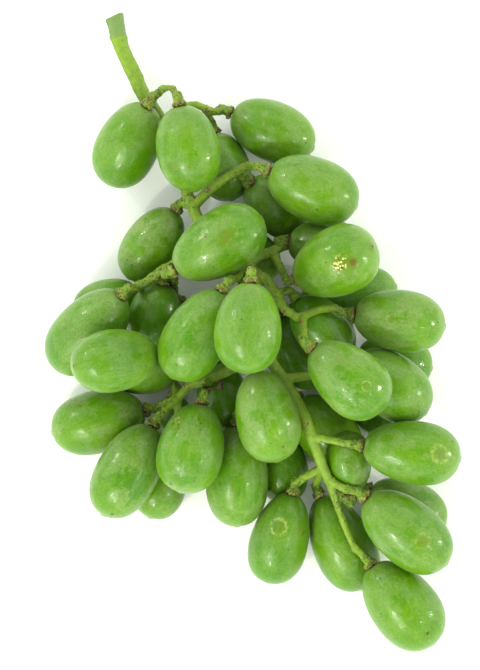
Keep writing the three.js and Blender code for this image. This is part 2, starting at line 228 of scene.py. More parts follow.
# Where each look begins and ends: each row is [start, end, low, high], and what goes from start to end shows
# from low to high. A row that ends early goes from 0 to 1.
BANDS = {
    "ripeness": [0.36, 0.64, 0.04, 0.44],
    "streaks": [0.42, 0.68, 0, 0.12],
    "threads": [0.48, 0.66, 0, 0.22],
    "skin grain": [0.3, 0.7, 0.8, 1.18],
    "pore size": [0.2, 0.08],
    "pore chance": [0.55, 0.65, 0, 0.5],
    "stray size": [0.13, 0.07],
    "stray chance": [0.82, 0.86, 0, 0.8],
    "tip halo": [-0.98, -0.998, 0, 0.45],
    "tip dot": [-0.9986, -0.9996],
    "bloom clouds": [0.47, 0.54],
    "rubbed bloom": [0.38, 0.6, 0.5, 1],
    "dusty bloom": [0.36, 0.6, 0.5, 1],
    "stalk bloom": [0.45, 1, 0, 0.4],
    "tip bloom": [-0.6, -1, 0, 0.3],
    "olive": [0.58, 0.8],
    "freckle size": [0.42, 0.2],
    "freckle chance": [0.4, 0.6],
    "freckled": [0.1, 0.6],
    "scar": [1.15, 0.7],
    "flake size": [0.6, 0.4],
    "pale flakes": [0.36, 0.4],
    "dark flakes": [0.18, 0.15],
    "ring inner edge": [0.7, 0.92],
    "ring outer edge": [1.25, 1.02],
    "ring gaps": [0.42, 0.56, 0.12, 1],
    "ring middle": [1, 0.3, 0, 0.7],
    "faintest ring": [0, 0.1],
    "dot halo": [2.2, 0.9, 0, 0.5],
    "dot": [1.3, 0.6, 0, 0.9],
    "dimple side": [0, 0.5],
    "tip point": [-0.992, -1],
    "stalk mottle": [0.38, 0.62],
    "mottled ends": [0, 1, 0.4, 0.85],
    "pale stalk": [0.55, 0.7],
    "speck size": [0.46, 0.22],
    "speck chance": [0, 0.06],
    "cork grain": [0.44, 0.56],
    "husk": [0.5, 0.6, 0, 0.8],
    "corky": [0.86, 1.12],
    "withered": [0.6, 0.7],
    "rough ends": [0, 1, 0.35, 1],
    "table grain": [0.3, 0.7, 0.985, 1],
    "wall foot": [0, 0.4, 0.45, 1],
    "ceiling": [0.62, 0.95, 1, 0.25],
}

# How strongly one look counts where it meets another, in what its name says.
SHARES = {
    "tone in ripeness": 0.5,
    "bloom over skin": 0.95,
    "stalk end in bloom": 0.05,
    "patch in olive": 0.25,
    "freckled tint": 0.35,
    "freckles": 0.9,
    "scar tint": 0.7,
    "bloom in roughness": 0.2,
    "wear in roughness": 0.2,
    "orange peel in relief": 0.34,
    "wear in relief": -0.2,
    "dull end": 0.85,
    "pale patches": 0.6,
    "warts": 0.6,
    "specks": 0.9,
    "ends in speck rarity": -0.55,
    "grain in cork": 0.9,
    "folds in cork": 0.62,
    "cork over stalk": 0.92,
    "cork in roughness": 0.3,
    "pits in relief": 0.4,
}
SKIN_ROUGHNESS = 0.34
BARK_ROUGHNESS = 0.45
SPECK_RARITY = 0.94

SKIN_RELIEF = {"Strength": 0.4, "Distance": 0.3 * MM}
WAX_RELIEF = {"Strength": 0.5, "Distance": 0.035 * MM}
BARK_RELIEF = {"Strength": 0.9, "Distance": 0.7 * MM}

SKIN_SURFACE = {
    "Subsurface Weight": 0.4,
    "Subsurface Radius": (0.7, 1.0, 0.25),
    "Subsurface Scale": 2.6 * MM,
    "IOR": 1.42,
    "Specular IOR Level": 0.22,
    "Coat Weight": 0.3,
    "Coat Roughness": 0.09,
    "Sheen Weight": 0.26,
    "Sheen Roughness": 0.16,
    "Sheen Tint": (0.82, 1.0, 0.7, 1.0),
}
BARK_SURFACE = {
    "Subsurface Weight": 0.15,
    "Subsurface Radius": (0.8, 1.0, 0.3),
    "Subsurface Scale": 0.8 * MM,
    "Specular IOR Level": 0.3,
}
TABLE_SURFACE = {"Roughness": 0.9, "Specular IOR Level": 0.1}

# ---- the stage ----

SENSOR_HEIGHT = 24.0
NEAREST_SEEN = 0.1
TABLE_REACH = 2.0

# Round lamps: each row is [name, azimuth, slant, width, setting, share]. The azimuth is anticlockwise from +X
# and the slant is from the vertical, in degrees, and the lamp has that share of the setting's brightness.
LAMPS = [
    ["soft lamp", 235, 45, 0.45, "soft_light", 1],
    ["near glint", 228, 43, 0.04, "small_light", 1],
    ["far glint", 246, 51, 0.04, "small_light", 0.6],
    ["back glint", 145, 62, 0.045, "small_light", 0.6],
    ["right glint", 0, 73, 0.055, "small_light", 0.8],
    ["low glint", 331, 42, 0.05, "small_light", 0.25],
]
LAMP_DISTANCE = 0.85


class Wiring:
    """Adds nodes to a tree. An input is given as a number, a vector or another node's output."""

    def __init__(self, tree):
        self.tree = tree

    def node(self, kind, inputs=(), **settings):
        made = self.tree.nodes.new(kind)
        for name, value in settings.items():
            setattr(made, name, value)
        self.feed(made, dict(inputs))
        return made

    def feed(self, node, values):
        for key, value in values.items():
            if isinstance(value, bpy.types.NodeSocket):
                self.tree.links.new(value, node.inputs[key])
            else:
                node.inputs[key].default_value = value

    def math(self, operation, first, second=0.0, third=0.0, clamp=False):
        inputs = {0: first, 1: second, 2: third}
        return self.node("ShaderNodeMath", inputs, operation=operation, use_clamp=clamp).outputs[0]

    def times(self, first, second, clamp=False):
        return self.math("MULTIPLY", first, second, clamp=clamp)

    def share(self, value, name, rest=0.0):
        """A share of one value, and the whole of the rest."""
        return self.math("MULTIPLY_ADD", value, SHARES[name], rest)

    def added(self, first, second):
        return self.node("ShaderNodeVectorMath", {0: first, 1: second}, operation="ADD").outputs[0]

    def scaled(self, vector, factor):
        return self.node("ShaderNodeVectorMath", {0: vector, "Scale": factor}, operation="SCALE").outputs[0]

    def split(self, vector):
        return self.node("ShaderNodeSeparateXYZ", {0: vector}).outputs

    def vector(self, x, y, z):
        return self.node("ShaderNodeCombineXYZ", {0: x, 1: y, 2: z}).outputs[0]

    def ramp(self, value, band):
        """Goes smoothly from low to high as the value goes from start to end of a band."""
        start, end, low, high = (*BANDS[band], 0, 1)[:4]
        inputs = {"Value": value, "From Min": start, "From Max": end, "To Min": low, "To Max": high}
        return self.node("ShaderNodeMapRange", inputs, interpolation_type="SMOOTHSTEP").outputs[0]

    def mix(self, factor, first, second):
        """The first colour under the second, which covers it by the factor."""
        inputs = {0: factor}
        for key, colour in {6: first, 7: second}.items():
            inputs[key] = colour if isinstance(colour, bpy.types.NodeSocket) else (*colour, 1.0)
        return self.node("ShaderNodeMix", inputs, data_type="RGBA").outputs[2]

    def noise(self, vector, name, own_seed=None):
        scale, detail, roughness, seed = NOISE[name]
        inputs = {"Vector": vector, "Scale": scale, "Detail": detail, "Roughness": roughness}
        inputs["W"] = seed if own_seed is None else own_seed
        return self.node("ShaderNodeTexNoise", inputs, noise_dimensions="4D").outputs[0]

    def pattern(self, vector, name):
        """A random pattern within the band of the same name."""
        return self.ramp(self.noise(vector, name), name)

    def cells(self, vector, name):
        """The distance to the nearest of many scattered points, and that point's random number."""
        made = self.node("ShaderNodeTexVoronoi", {"Vector": vector, "Scale": CELLS[name]})
        chance = self.node("ShaderNodeSeparateColor", {0: made.outputs["Color"]}).outputs[0]
        return made.outputs["Distance"], chance

    def dots(self, vector, name):
        """Round dots at some of the scattered points."""
        distance, chance = self.cells(vector, name)
        return self.times(self.ramp(distance, name + " size"), self.ramp(chance, name + " chance"))

    def bump(self, height, relief):
        return self.node("ShaderNodeBump", {**relief, "Height": height}).outputs[0]

    def place(self):
        """Where a point of the piece is, in metres."""
        return self.node("ShaderNodeTexCoord").outputs["Object"]

    def attribute(self, name, output="Fac"):
        return self.node("ShaderNodeAttribute", attribute_name=name).outputs[output]


# ---- materials ----


def new_material(name, surface):
    """A material with this surface, its wiring and its shader."""
    material = bpy.data.materials.new(name)
    material.use_nodes = True
    tree = material.node_tree
    tree.nodes.clear()
    wire = Wiring(tree)
    shader = wire.node("ShaderNodeBsdfPrincipled", surface, subsurface_method="RANDOM_WALK")
    wire.node("ShaderNodeOutputMaterial", {0: shader.outputs[0]})
    return material, wire, shader


def skin_material(colours):
    """Green skin under patches of pale bloom, with streaks, pores, marks and a dry dot at the tip."""
    material, wire, shader = new_material("grape skin", SKIN_SURFACE)
    spot = wire.scaled(wire.place(), 1 / MM)
    along = wire.attribute("along")
    lengthwise = wire.attribute("lengthwise", "Vector")

    # Each berry's tone is partly painted shade and light: lower on berries that lie deep in shade, higher on
    # some that the lamps leave too shaded.
    ripeness = wire.share(wire.attribute("tone_and_painted_shade"), "tone in ripeness", wire.pattern(spot, "ripeness"))
    colour = wire.mix(ripeness, colours.deep, colours.bright)
    for lines in ("streaks", "threads"):
        colour = wire.mix(wire.pattern(lengthwise, lines), colour, colours.vein)

    bloom = bloom_cover(wire, spot, lengthwise, along)
    colour = wire.mix(wire.share(bloom, "bloom over skin"), colour, colours.bloom)
    colour = wire.scaled(colour, wire.pattern(spot, "skin grain"))
    colour = wire.mix(wire.dots(spot, "pore"), colour, colours.vein)
    colour = wire.mix(wire.dots(spot, "stray"), colour, colours.freckle)
    colour, worn = with_marks(wire, colours, spot, colour)
    colour = wire.mix(wire.ramp(along, "tip halo"), colour, colours.olive)
    colour = wire.mix(wire.ramp(along, "tip dot"), colour, colours.tip)

    roughness = wire.share(bloom, "bloom in roughness", SKIN_ROUGHNESS)
    roughness = wire.share(worn, "wear in roughness", roughness)
    peel = wire.noise(spot, "orange peel")
    height = wire.share(peel, "orange peel in relief", wire.noise(spot, "waves"))
    skin = wire.bump(wire.share(worn, "wear in relief", height), SKIN_RELIEF)
    wax = wire.bump(wire.noise(spot, "wax grain"), {**WAX_RELIEF, "Normal": skin})
    wire.feed(shader, {"Base Color": colour, "Roughness": roughness, "Normal": skin, "Coat Normal": wax})
    return material


def bloom_cover(wire, spot, lengthwise, along):
    """How thick the pale bloom lies, from 0 to 1: rubbed off in patches, and more of it at both ends."""
    clouds = wire.noise(spot, "bloom clouds")
    clouds = wire.ramp(wire.share(along, "stalk end in bloom", clouds), "bloom clouds")
    rubbed = wire.pattern(lengthwise, "rubbed bloom")
    dusty = wire.pattern(spot, "dusty bloom")
    ends = wire.math("ADD", wire.ramp(along, "stalk bloom"), wire.ramp(along, "tip bloom"))
    cover = wire.times(wire.math("MULTIPLY_ADD", clouds, rubbed, ends), dusty)
    # The per-berry bloom amount is partly painted shade and light: little of it on berries that lie deep in
    # shade, much on some that the lamps leave too shaded.
    return wire.times(cover, wire.attribute("bloom"), clamp=True)


def with_marks(wire, colours, spot, colour):
    """The skin's colour with all its marks, and how worn it is."""
    ragged = wire.math("SUBTRACT", wire.noise(spot, "ragged edges"), NOISE_MEAN)
    scar, ring, dot = [radii_from_mark(wire, ragged, kind) for kind in ("scar", "ring", "dot")]
    colour, olive = with_olive(wire, colours, spot, colour)
    colour = with_freckles(wire, colours, spot, colour)
    colour, flaky = with_scar(wire, colours, spot, scar, colour)
    colour = with_ring(wire, colours, spot, ring, colour)
    colour = with_dot(wire, colours, dot, colour)
    return colour, wire.math("MAXIMUM", flaky, olive)


def radii_from_mark(wire, ragged, kind):
    """The distance from a berry's own mark of this kind, in radii of the mark and with a ragged edge."""
    inputs = {0: wire.place(), 1: wire.attribute(kind + "_at", "Vector")}
    apart = wire.node("ShaderNodeVectorMath", inputs, operation="DISTANCE").outputs["Value"]
    radii = wire.math("DIVIDE", apart, wire.attribute(kind + "_radius"))
    return wire.math("MULTIPLY_ADD", ragged, RAGGED[kind], radii)


def with_olive(wire, colours, spot, colour):
    patch = wire.attribute("olive")
    olive = wire.share(patch, "patch in olive", wire.noise(spot, "olive"))
    olive = wire.times(wire.ramp(olive, "olive"), patch, clamp=True)
    return wire.mix(olive, colour, colours.olive), olive


def with_freckles(wire, colours, spot, colour):
    patch = wire.attribute("freckled")
    colour = wire.mix(wire.share(patch, "freckled tint"), colour, colours.olive)
    freckles = wire.times(wire.dots(spot, "freckle"), wire.ramp(patch, "freckled"))
    return wire.mix(wire.share(freckles, "freckles"), colour, colours.freckle)


def with_scar(wire, colours, spot, radii, colour):
    """An olive scar under pale and dark flakes, and where it is."""
    scar = wire.times(wire.ramp(radii, "scar"), wire.attribute("scar_strength"))
    colour = wire.mix(wire.share(scar, "scar tint"), colour, colours.olive)
    distance, chance = wire.cells(spot, "flake")
    flakes = wire.times(wire.ramp(distance, "flake size"), scar)
    colour = wire.mix(wire.times(flakes, wire.ramp(chance, "pale flakes")), colour, colours.scar)
    colour = wire.mix(wire.times(flakes, wire.ramp(chance, "dark flakes")), colour, colours.freckle)
    return colour, scar


def with_ring(wire, colours, spot, radii, colour):
    """A broken pale ring round an olive middle. The fainter the ring, the clearer its middle."""
    strength = wire.attribute("ring_strength")
    band = wire.times(wire.ramp(radii, "ring inner edge"), wire.ramp(radii, "ring outer edge"))
    band = wire.times(band, wire.pattern(spot, "ring gaps"))
    colour = wire.mix(wire.times(band, strength), colour, colours.scar)
    inside = wire.times(wire.ramp(radii, "ring middle"), wire.math("SUBTRACT", 1.0, strength))
    return wire.mix(wire.times(inside, wire.ramp(strength, "faintest ring")), colour, colours.olive)


def with_dot(wire, colours, radii, colour):
    """A brown dot in an olive halo."""
    colour = wire.mix(wire.ramp(radii, "dot halo"), colour, colours.olive)
    brown = wire.mix(wire.attribute("dot_strength"), colours.tip, colours.dot)
    return wire.mix(wire.ramp(radii, "dot"), colour, brown)


def bark_material(colours):
    """Green stalk with darker mottles, specks, brown scars, corky collars, a dull end and a dry twig."""
    material, wire, shader = new_material("green stalk", BARK_SURFACE)
    spot = wire.scaled(wire.place(), 1 / MM)
    specked = wire.attribute("specked")
    grain = wire.noise(spot, "cork grain")

    forks = wire.share(grain, "grain in cork", wire.share(wire.attribute("crease"), "folds in cork"))
    collars = wire.share(grain, "grain in cork", wire.attribute("cork"))
    corky = wire.ramp(wire.math("MAXIMUM", collars, forks), "corky")
    colour = stalk_colour(wire, colours, spot, specked)
    brown = cork_colour(wire, colours, spot, grain)
    colour = wire.mix(wire.share(corky, "cork over stalk"), colour, brown)
    withered = wire.mix(wire.ramp(grain, "withered"), colours.cork_deep, colours.cork)
    colour = wire.mix(wire.attribute("dry"), colour, withered)

    pits, _ = wire.cells(spot, "pit")
    height = wire.share(pits, "pits in relief", wire.noise(spot, "rough bark"))
    relief = wire.bump(wire.times(height, wire.ramp(specked, "rough ends")), BARK_RELIEF)
    roughness = wire.share(corky, "cork in roughness", BARK_ROUGHNESS)
    wire.feed(shader, {"Base Color": colour, "Roughness": roughness, "Normal": relief})
    return material


def stalk_colour(wire, colours, spot, specked):
    """Green with mottles, pale patches, warts and dark specks, most at a berry's end of a stalk."""
    mottle = wire.times(wire.pattern(spot, "stalk mottle"), wire.ramp(specked, "mottled ends"))
    colour = wire.mix(mottle, colours.stalk, colours.stalk_deep)
    colour = wire.mix(wire.share(wire.attribute("dull"), "dull end"), colour, colours.stalk_dull)
    pale = wire.pattern(spot, "pale stalk")
    colour = wire.mix(wire.times(pale, wire.share(specked, "pale patches")), colour, colours.wart)
    colour = wire.mix(wire.share(wire.attribute("wart"), "warts"), colour, colours.wart)

    distance, chance = wire.cells(spot, "speck")
    rarity = wire.share(specked, "ends in speck rarity", SPECK_RARITY)
    chosen = wire.ramp(wire.math("SUBTRACT", chance, rarity), "speck chance")
    specks = wire.times(wire.ramp(distance, "speck size"), chosen)
    return wire.mix(wire.share(specks, "specks"), colour, colours.cork_deep)


def cork_colour(wire, colours, spot, grain):
    """Dark and pale brown grain, with pale husks."""
    colour = wire.mix(wire.ramp(grain, "cork grain"), colours.cork_deep, colours.cork)
    return wire.mix(wire.pattern(spot, "husk"), colour, colours.wart)


def table_material(colour):
    """A plain pale table top with the faintest grain."""
    material, wire, shader = new_material("pale table top", TABLE_SURFACE)
    grain = wire.pattern(wire.place(), "table grain")
    wire.feed(shader, {"Base Color": wire.mix(grain, (0.0, 0.0, 0.0), colour)})
    return material


# ---- Geometry Nodes ----

BERRY_SIZES = ["Length", "Width", "Taper", "Bluntness", "Unevenness", "Dimple", "Point"]
BERRY_INPUTS = {
    "Float": [*BERRY_SIZES, "Seed", "Tone and painted shade", "Bloom"],
    "Int": ["Sides", "Rings"],
    "Vector": ["Turn", "Place"],
    "Material": ["Skin"],
}
WART_INPUTS = {"Float": ["Density", "Speck density", "Radius"], "Int": ["Seed"], "Material": ["Bark"]}


def new_tree(name, sockets):
    """An empty tree with a geometry in and out and these inputs, its wiring and what it is given."""
    tree = bpy.data.node_groups.new(name, "GeometryNodeTree")
    for way in ("INPUT", "OUTPUT"):
        tree.interface.new_socket("Geometry", in_out=way, socket_type="NodeSocketGeometry")
    for kind, names in sockets.items():
        for socket in names:
            tree.interface.new_socket(socket, in_out="INPUT", socket_type="NodeSocket" + kind)
    wire = Wiring(tree)
    return tree, wire, wire.node("NodeGroupInput").outputs


def step(wire, kind, form, inputs=()):
    """What a geometry node of this kind makes of a geometry."""
    return wire.node("GeometryNode" + kind, {"Geometry": form, **dict(inputs)}).outputs[0]


def stored(wire, form, name, value, kind="FLOAT"):
    """The geometry with a value kept at each of its points."""
    inputs = {"Geometry": form, "Name": name, "Value": value}
    return wire.node("GeometryNodeStoreNamedAttribute", inputs, data_type=kind, domain="POINT").outputs[0]


def end_tree(wire, form, material):
    """Ends a tree with a smooth, plain geometry of one material."""
    form = step(wire, "SetShadeSmooth", form, {"Shade Smooth": True})
    form = step(wire, "RealizeInstances", form)
    form = step(wire, "SetMaterial", form, {"Material": material})
    wire.node("NodeGroupOutput", {0: form})


def berry_profile(wire, given, position, along):
    """How far from a berry's axis a point of its skin lies, and how far along the axis."""
    bluntness = given["Bluntness"]
    power = wire.math("POWER", wire.math("ABSOLUTE", along), bluntness)
    root = wire.math("DIVIDE", 1.0, bluntness)
    bulge = wire.math("POWER", wire.math("SUBTRACT", 1.0, power, clamp=True), root)
    slope = wire.math("SUBTRACT", 1.0, wire.times(given["Taper"], along))
    radius = wire.times(wire.times(bulge, slope), wire.times(given["Width"], 0.5))
    uneven = wire.math("SUBTRACT", wire.noise(position, "uneven berry", given["Seed"]), NOISE_MEAN)
    radius = wire.times(radius, wire.math("ADD", wire.times(uneven, given["Unevenness"]), 1.0))

    from_axis = wire.math("DIVIDE", radius, DIMPLE_RADIUS)
    hollow = wire.math("EXPONENT", wire.times(wire.times(from_axis, from_axis), -1.0))
    hollow = wire.times(hollow, wire.times(given["Dimple"], wire.ramp(along, "dimple side")))
    height = wire.times(along, wire.times(given["Length"], 0.5))
    height = wire.math("SUBTRACT", height, hollow)
    return radius, wire.math("SUBTRACT", height, wire.times(wire.ramp(along, "tip point"), given["Point"]))


def berry_tree():
    """A blunt egg, fuller at the tip, with a dimple at the stalk and a small point."""
    tree, wire, given = new_tree("berry form", BERRY_INPUTS)
    inputs = {"Segments": given["Sides"], "Rings": given["Rings"], "Radius": 1.0}
    ball = wire.node("GeometryNodeMeshUVSphere", inputs).outputs["Mesh"]
    position = wire.node("GeometryNodeInputPosition").outputs[0]
    x, y, z = wire.split(position)
    along = wire.math("MINIMUM", wire.math("MAXIMUM", z, -1.0), 1.0)
    outward = wire.node("ShaderNodeVectorMath", {0: wire.vector(x, y, 0.0)}, operation="NORMALIZE").outputs[0]
    radius, height = berry_profile(wire, given, position, along)
    shaped = wire.added(wire.scaled(outward, radius), wire.vector(0.0, 0.0, height))

    streak = wire.vector(0.0, 0.0, wire.times(along, STREAK_STRETCH))
    streak = wire.added(wire.scaled(outward, STREAK_SPREAD), streak)
    streak = wire.added(streak, wire.vector(given["Seed"], given["Seed"], 0.0))

    form = stored(wire, ball, "along", along)
    form = stored(wire, form, "lengthwise", streak, "FLOAT_VECTOR")
    # Tone and bloom are kept per berry; both are partly painted shade and light.
    form = stored(wire, form, "tone_and_painted_shade", given["Tone and painted shade"])
    form = stored(wire, form, "bloom", given["Bloom"])
    form = step(wire, "SetPosition", form, {"Position": shaped})
    turn = wire.node("FunctionNodeEulerToRotation", {0: given["Turn"]}).outputs[0]
    form = step(wire, "Transform", form, {"Translation": given["Place"], "Rotation": turn})
    x, y, z = wire.split(wire.node("GeometryNodeInputPosition").outputs[0])
    above_table = wire.vector(x, y, wire.math("MAXIMUM", z, 0.0))
    form = step(wire, "SetPosition", form, {"Position": above_table})
    end_tree(wire, form, given["Skin"])
    return tree


def wart_tree():
    """Scatters low round warts over a stalk, more of them where it is specked."""
    tree, wire, given = new_tree("stalk warts", WART_INPUTS)
    seed = {"Seed": given["Seed"]}
    specked = wire.node("GeometryNodeInputNamedAttribute", {"Name": "specked"}, data_type="FLOAT").outputs[0]
    density = wire.math("MULTIPLY_ADD", specked, given["Speck density"], given["Density"])
    inputs = {"Mesh": given["Geometry"], "Density": density, **seed}
    scatter = wire.node("GeometryNodeDistributePointsOnFaces", inputs).outputs

    size = wire.node("FunctionNodeRandomValue", {**WART_SIZES, **seed}, data_type="FLOAT")
    across = wire.times([output for output in size.outputs if output.enabled][0], given["Radius"])
    shape = wire.vector(across, across, wire.times(across, WART_FLATNESS))
    ball = wire.node("GeometryNodeMeshIcoSphere", {"Radius": 1.0, "Subdivisions": 1}).outputs["Mesh"]
    wart = stored(wire, ball, "wart", 1.0)
    inputs = {"Points": scatter["Points"], "Instance": wart, "Rotation": scatter["Rotation"], "Scale": shape}
    warts = wire.node("GeometryNodeInstanceOnPoints", inputs).outputs[0]

    both = wire.node("GeometryNodeJoinGeometry", {0: warts})
    wire.feed(both, {0: given["Geometry"]})
    end_tree(wire, both.outputs[0], given["Bark"])
    return tree


def plain_mesh(holder):
    """The mesh that an object's modifiers make, once the object is gone."""
    mesh = bpy.data.meshes.new_from_object(holder.evaluated_get(bpy.context.evaluated_depsgraph_get()))
    bpy.data.objects.remove(holder)
    return mesh


def linked(name, data):
    """A new object in the scene."""
    made = bpy.data.objects.new(name, data)
    bpy.context.scene.collection.objects.link(made)
    return made


def grown(name, tree, values, start=None):
    """The plain mesh that a tree makes from its named inputs, as a new object."""
    holder = linked(name, start or bpy.data.meshes.new(name))
    modifier = holder.modifiers.new("form", "NODES")
    modifier.node_group = tree
    sockets = {item.name: item.identifier for item in tree.interface.items_tree if item.in_out == "INPUT"}
    for key, value in values.items():
        modifier[sockets[key]] = value
    mesh = plain_mesh(holder)
    mesh.name = name
    return linked(name, mesh)


# ---- what the frame says about each berry ----


def tree_of(points):
    """A search tree for the nearest of these points."""
    tree = KDTree(len(points))
    for i, point in enumerate(points):
        tree.insert(point, i)
    tree.balance()
    return tree


def read_vectors(items, attribute):
    """One vector of each of a mesh's items, as the rows of an array."""
    flat = np.empty(len(items) * 3)
    items.foreach_get(attribute, flat)
    return flat.reshape(-1, 3)


def probe_radius(heights, sideways, height):
    """The radius of a berry's solid at one height along it."""
    near = np.abs(heights - height) < PROBE_BAND
    return np.percentile(sideways[near], PROBE_PERCENTILE)


def berry_facts(node, stem_points):
    """The middle, the axis towards the stalk, the length, the width and the taper of a berry in the frame."""
    points = read_vectors(node.data.vertices, "co")
    centred = points - points.mean(axis=0)
    _, _, directions = np.linalg.svd(centred, full_matrices=False)
    reach = centred @ directions[0]
    ends = [Vector(points[reach.argmax()]), Vector(points[reach.argmin()])]
    stalk_end, tip = sorted(ends, key=lambda end: stem_points.find(end)[2])
    length = (stalk_end - tip).length
    axis = (stalk_end - tip).normalized()
    middle = (stalk_end + tip) / 2

    offsets = points - np.array(middle)
    reach = offsets @ np.array(axis)
    sideways = np.linalg.norm(offsets - np.outer(reach, np.array(axis)), axis=1)
    heights = reach / (length / 2)
    towards_tip = probe_radius(heights, sideways, -PROBE_HEIGHT)
    share = probe_radius(heights, sideways, PROBE_HEIGHT) / towards_tip
    return {
        "middle": middle,
        "axis": axis,
        "length": length,
        "width": 2 * probe_radius(heights, sideways, 0.0),
        "taper": (1 - share) / (PROBE_HEIGHT * (1 + share)),
    }


BERRIES = sorted(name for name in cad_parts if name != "stem")
STEM_POINTS = tree_of(read_vectors(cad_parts["stem"].data.vertices, "co"))
FACTS = {name: berry_facts(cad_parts[name], STEM_POINTS) for name in BERRIES}


# ---- settings ----


def size_setting(name, default, description):
    return bpy.props.FloatProperty(
        name=name, description=description, default=default, unit="LENGTH", precision=5
    )


def number_setting(name, default, description, **limits):
    return bpy.props.FloatProperty(name=name, description=description, default=default, **limits)


def colour_setting(name, default, description):
    return bpy.props.FloatVectorProperty(
        name=name, description=description, default=default, subtype="COLOR", size=3, min=0.0, max=1.0
    )


class GrapeSizes(bpy.types.PropertyGroup):
    """Sizes of the berries and the stem."""

    swell: size_setting("Skin growth", 0.00012, "How far a berry's skin stands outside its solid")
    dimple: size_setting("Stalk dimple", 0.0005, "Depth of the dimple where the stalk meets a berry")
    point: size_setting("Tip point", 0.0003, "Height of the small point at a berry's tip")
    bluntness: number_setting("Bluntness", 2.15, "2 is an ellipse, more is squarer", min=1.8, max=3.0)
    unevenness: number_setting("Unevenness", 0.07, "How far a berry departs from round", subtype="FACTOR")
    stalk_growth: size_setting("Stalk growth", 0.00014, "How far the stalks stand outside their solid")
    stalk_lumps: size_setting("Stalk lumps", 0.00028, "Height of the lumps on the stalks")
    collar_rim: size_setting("Collar rim", 0.00035, "How far the corky rim of a collar stands out")
    wart_radius: size_setting("Wart radius", 0.00034, "Radius of a typical wart on the stalks")
    stalk_cell: size_setting("Stalk cell", 0.00042, "Edge of the smallest cell of a stalk's surface")


class GrapeColours(bpy.types.PropertyGroup):
    """Colours of the skins and the stalks."""

    deep: colour_setting("Deep skin", (0.031, 0.146, 0.002), "The darkest green of the skins")
    bright: colour_setting("Bright skin", (0.103, 0.234, 0.001), "The ripest, yellowest green of the skins")
    vein: colour_setting("Veins", (0.165, 0.290, 0.030), "Lengthwise streaks and pores")
    bloom: colour_setting("Bloom", (0.157, 0.250, 0.060), "The pale wax on the skins")
    freckle: colour_setting("Freckles", (0.035, 0.030, 0.006), "Small brown dots")
    olive: colour_setting("Olive", (0.105, 0.160, 0.004), "Rubbed and healed places")
    scar: colour_setting("Scars", (0.500, 0.500, 0.160), "Pale flakes in a scar")
    dot: colour_setting("Dots", (0.105, 0.075, 0.004), "Single brown dots")
    tip: colour_setting("Tip dot", (0.030, 0.020, 0.008), "The dry dot at a berry's tip")
    stalk: colour_setting("Stalk", (0.180, 0.295, 0.018), "The stalks' green")
    stalk_deep: colour_setting("Deep stalk", (0.070, 0.145, 0.016), "The darker patches on the stalks")
    stalk_dull: colour_setting("Dull stalk", (0.125, 0.210, 0.060), "The dry end of the main stalk")
    wart: colour_setting("Warts", (0.300, 0.350, 0.060), "The warts on the stalks")
    cork: colour_setting("Cork", (0.240, 0.180, 0.060), "The corky collars, where they are pale")
    cork_deep: colour_setting("Deep cork", (0.036, 0.026, 0.006), "The corky collars, where they are dark")


class GrapeStage(bpy.types.PropertyGroup):
    """The table, the camera and the lamps."""

    table: colour_setting("Table", (0.92, 0.93, 0.94), "The table top")
    walls: colour_setting("Walls", (0.98, 1.0, 0.94), "The pale walls all round")
    lamps: colour_setting("Lamps", (1.0, 1.0, 0.88), "The light of the lamps")
    camera_height: size_setting("Camera height", CAMERA_HEIGHT, "Height of the camera above the table")
    frame_height: size_setting("Frame height", FRAME_HEIGHT, "Length in the frame, 25 mm above the table")
    room_light: number_setting("Room light", 2.35, "Brightness of the pale walls all round", min=0.0)
    soft_light: number_setting("Soft light", 4.5, "Brightness of the large soft lamp", min=0.0)
    small_light: number_setting("Small lamps", 360.0, "Brightness of the lamps that glint on skins", min=0.0)


# ---- making the berries ----


def set_attribute(mesh, name, values):
    """Keeps a number or a vector at each point of a mesh."""
    values = np.asarray(values, dtype=np.float32)
    kind, field = ("FLOAT", "value") if values.ndim == 1 else ("FLOAT_VECTOR", "vector")
    mesh.attributes.new(name, kind, "POINT").data.foreach_set(field, values.ravel())


def plan_distance(points, u, v, height):
    """How far each point lies in plan from what the camera sees at a pixel, if that lies at this height."""
    pixel = FRAME_HEIGHT / FRAME_PIXELS[1] * (CAMERA_HEIGHT - height) / (CAMERA_HEIGHT - FRAME_LEVEL)
    x = CAMERA_PLACE[0] + (u - FRAME_PIXELS[0] / 2) * pixel
    y = CAMERA_PLACE[1] + (FRAME_PIXELS[1] / 2 - v) * pixel
    return np.hypot(points[:, 0] - x, points[:, 1] - y)


def marks_of(number, kind, points, fact):
    """How far each point is from each of a berry's marks of one kind, and the mark's radius and strength."""
    middle = fact["middle"]
    height = middle.z + MARK_RISE * fact["width"]
    for berry, u, v, radius, strength in MARKS[kind]:
        if berry == number:
            apart = plan_distance(points, u, v, height)
            yield np.where(points[:, 2] > middle.z, apart, OUT_OF_SIGHT), radius * MM, strength


def mark_berry(mesh, number, fact):
    """Stores a berry's patches point by point, and the place, radius and strength of its small marks."""
    points = read_vectors(mesh.vertices, "co")
    for kind in PATCHES:
        cover = np.zeros(len(points))
        for apart, radius, strength in marks_of(number, kind, points, fact):
            cover = np.maximum(cover, strength * np.clip(PATCH_REACH - apart / radius, 0, 1))
        set_attribute(mesh, kind, cover)
    for kind in RAGGED:
        place, radius, strength = FAR_AWAY, MM, 0.0
        for apart, radius, strength in marks_of(number, kind, points, fact):
            place = points[apart.argmin()]
        set_attribute(mesh, kind + "_at", np.tile(place, (len(points), 1)))
        set_attribute(mesh, kind + "_radius", np.full(len(points), radius))
        set_attribute(mesh, kind + "_strength", np.full(len(points), strength))


